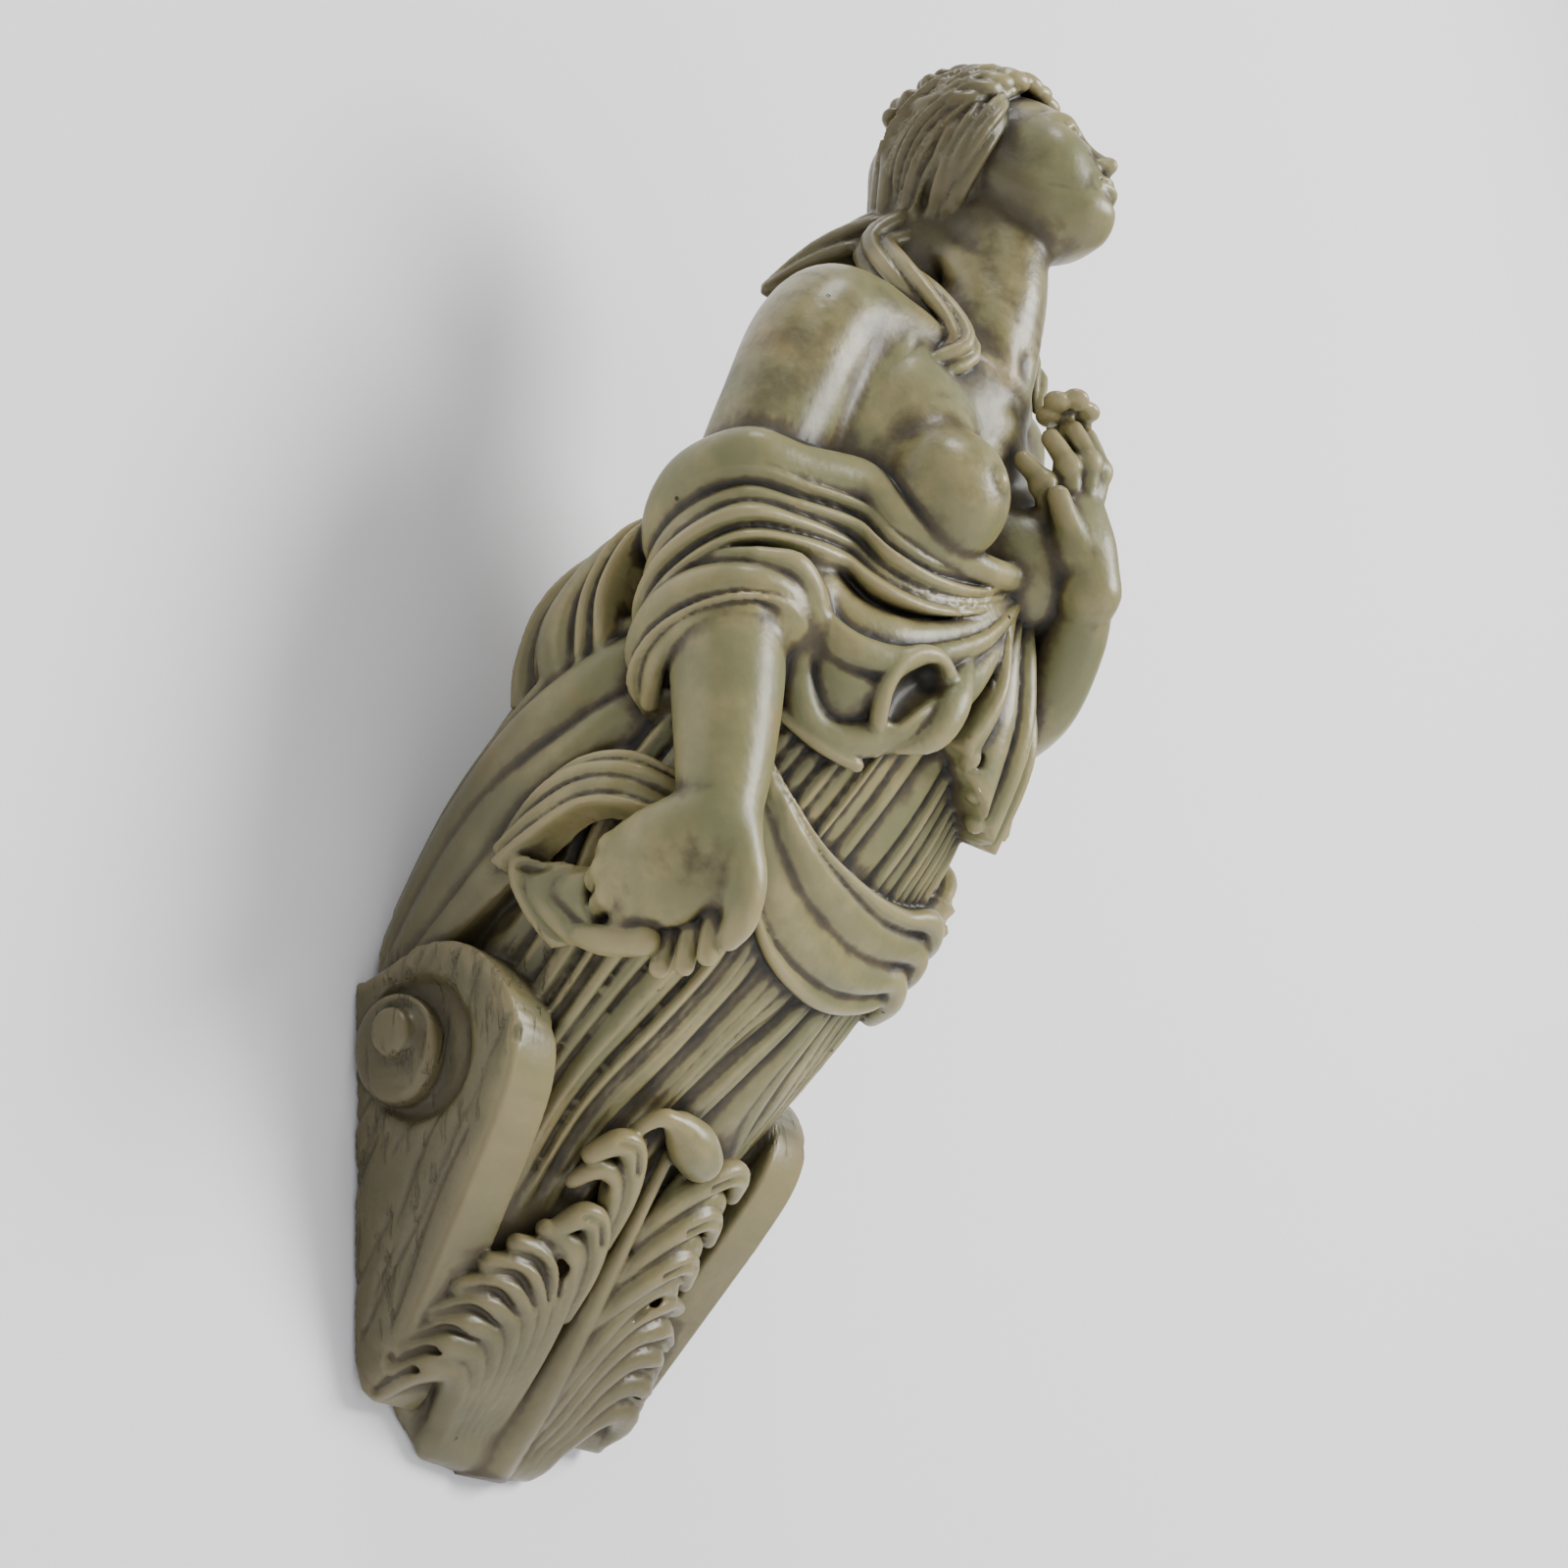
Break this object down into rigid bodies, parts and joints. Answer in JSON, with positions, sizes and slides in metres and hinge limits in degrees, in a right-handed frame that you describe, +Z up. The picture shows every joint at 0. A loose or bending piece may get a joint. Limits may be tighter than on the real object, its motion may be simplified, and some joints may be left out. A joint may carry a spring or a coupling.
{
  "type": "ship figurehead",
  "caption": "Wall-hung carved-style ship figurehead: a half-draped figure leaning forward from a scrolled acanthus bracket, cast in one piece with a flat back.",
  "frame": {"origin": "middle of the flat back, which lies against the wall", "axes": "+Z up, +Y into the wall, the figure faces -Y, +X is the figure's left"},
  "size_m": [0.1149, 0.1304, 0.3046],
  "materials": {
    "cast_resin": "olive-ivory cast resin with a dark brown wash in the hollows, satin gloss on the high places"
  },
  "bodies": {
    "root": {"figurehead": "cast_resin"}
  },
  "joints": []
}
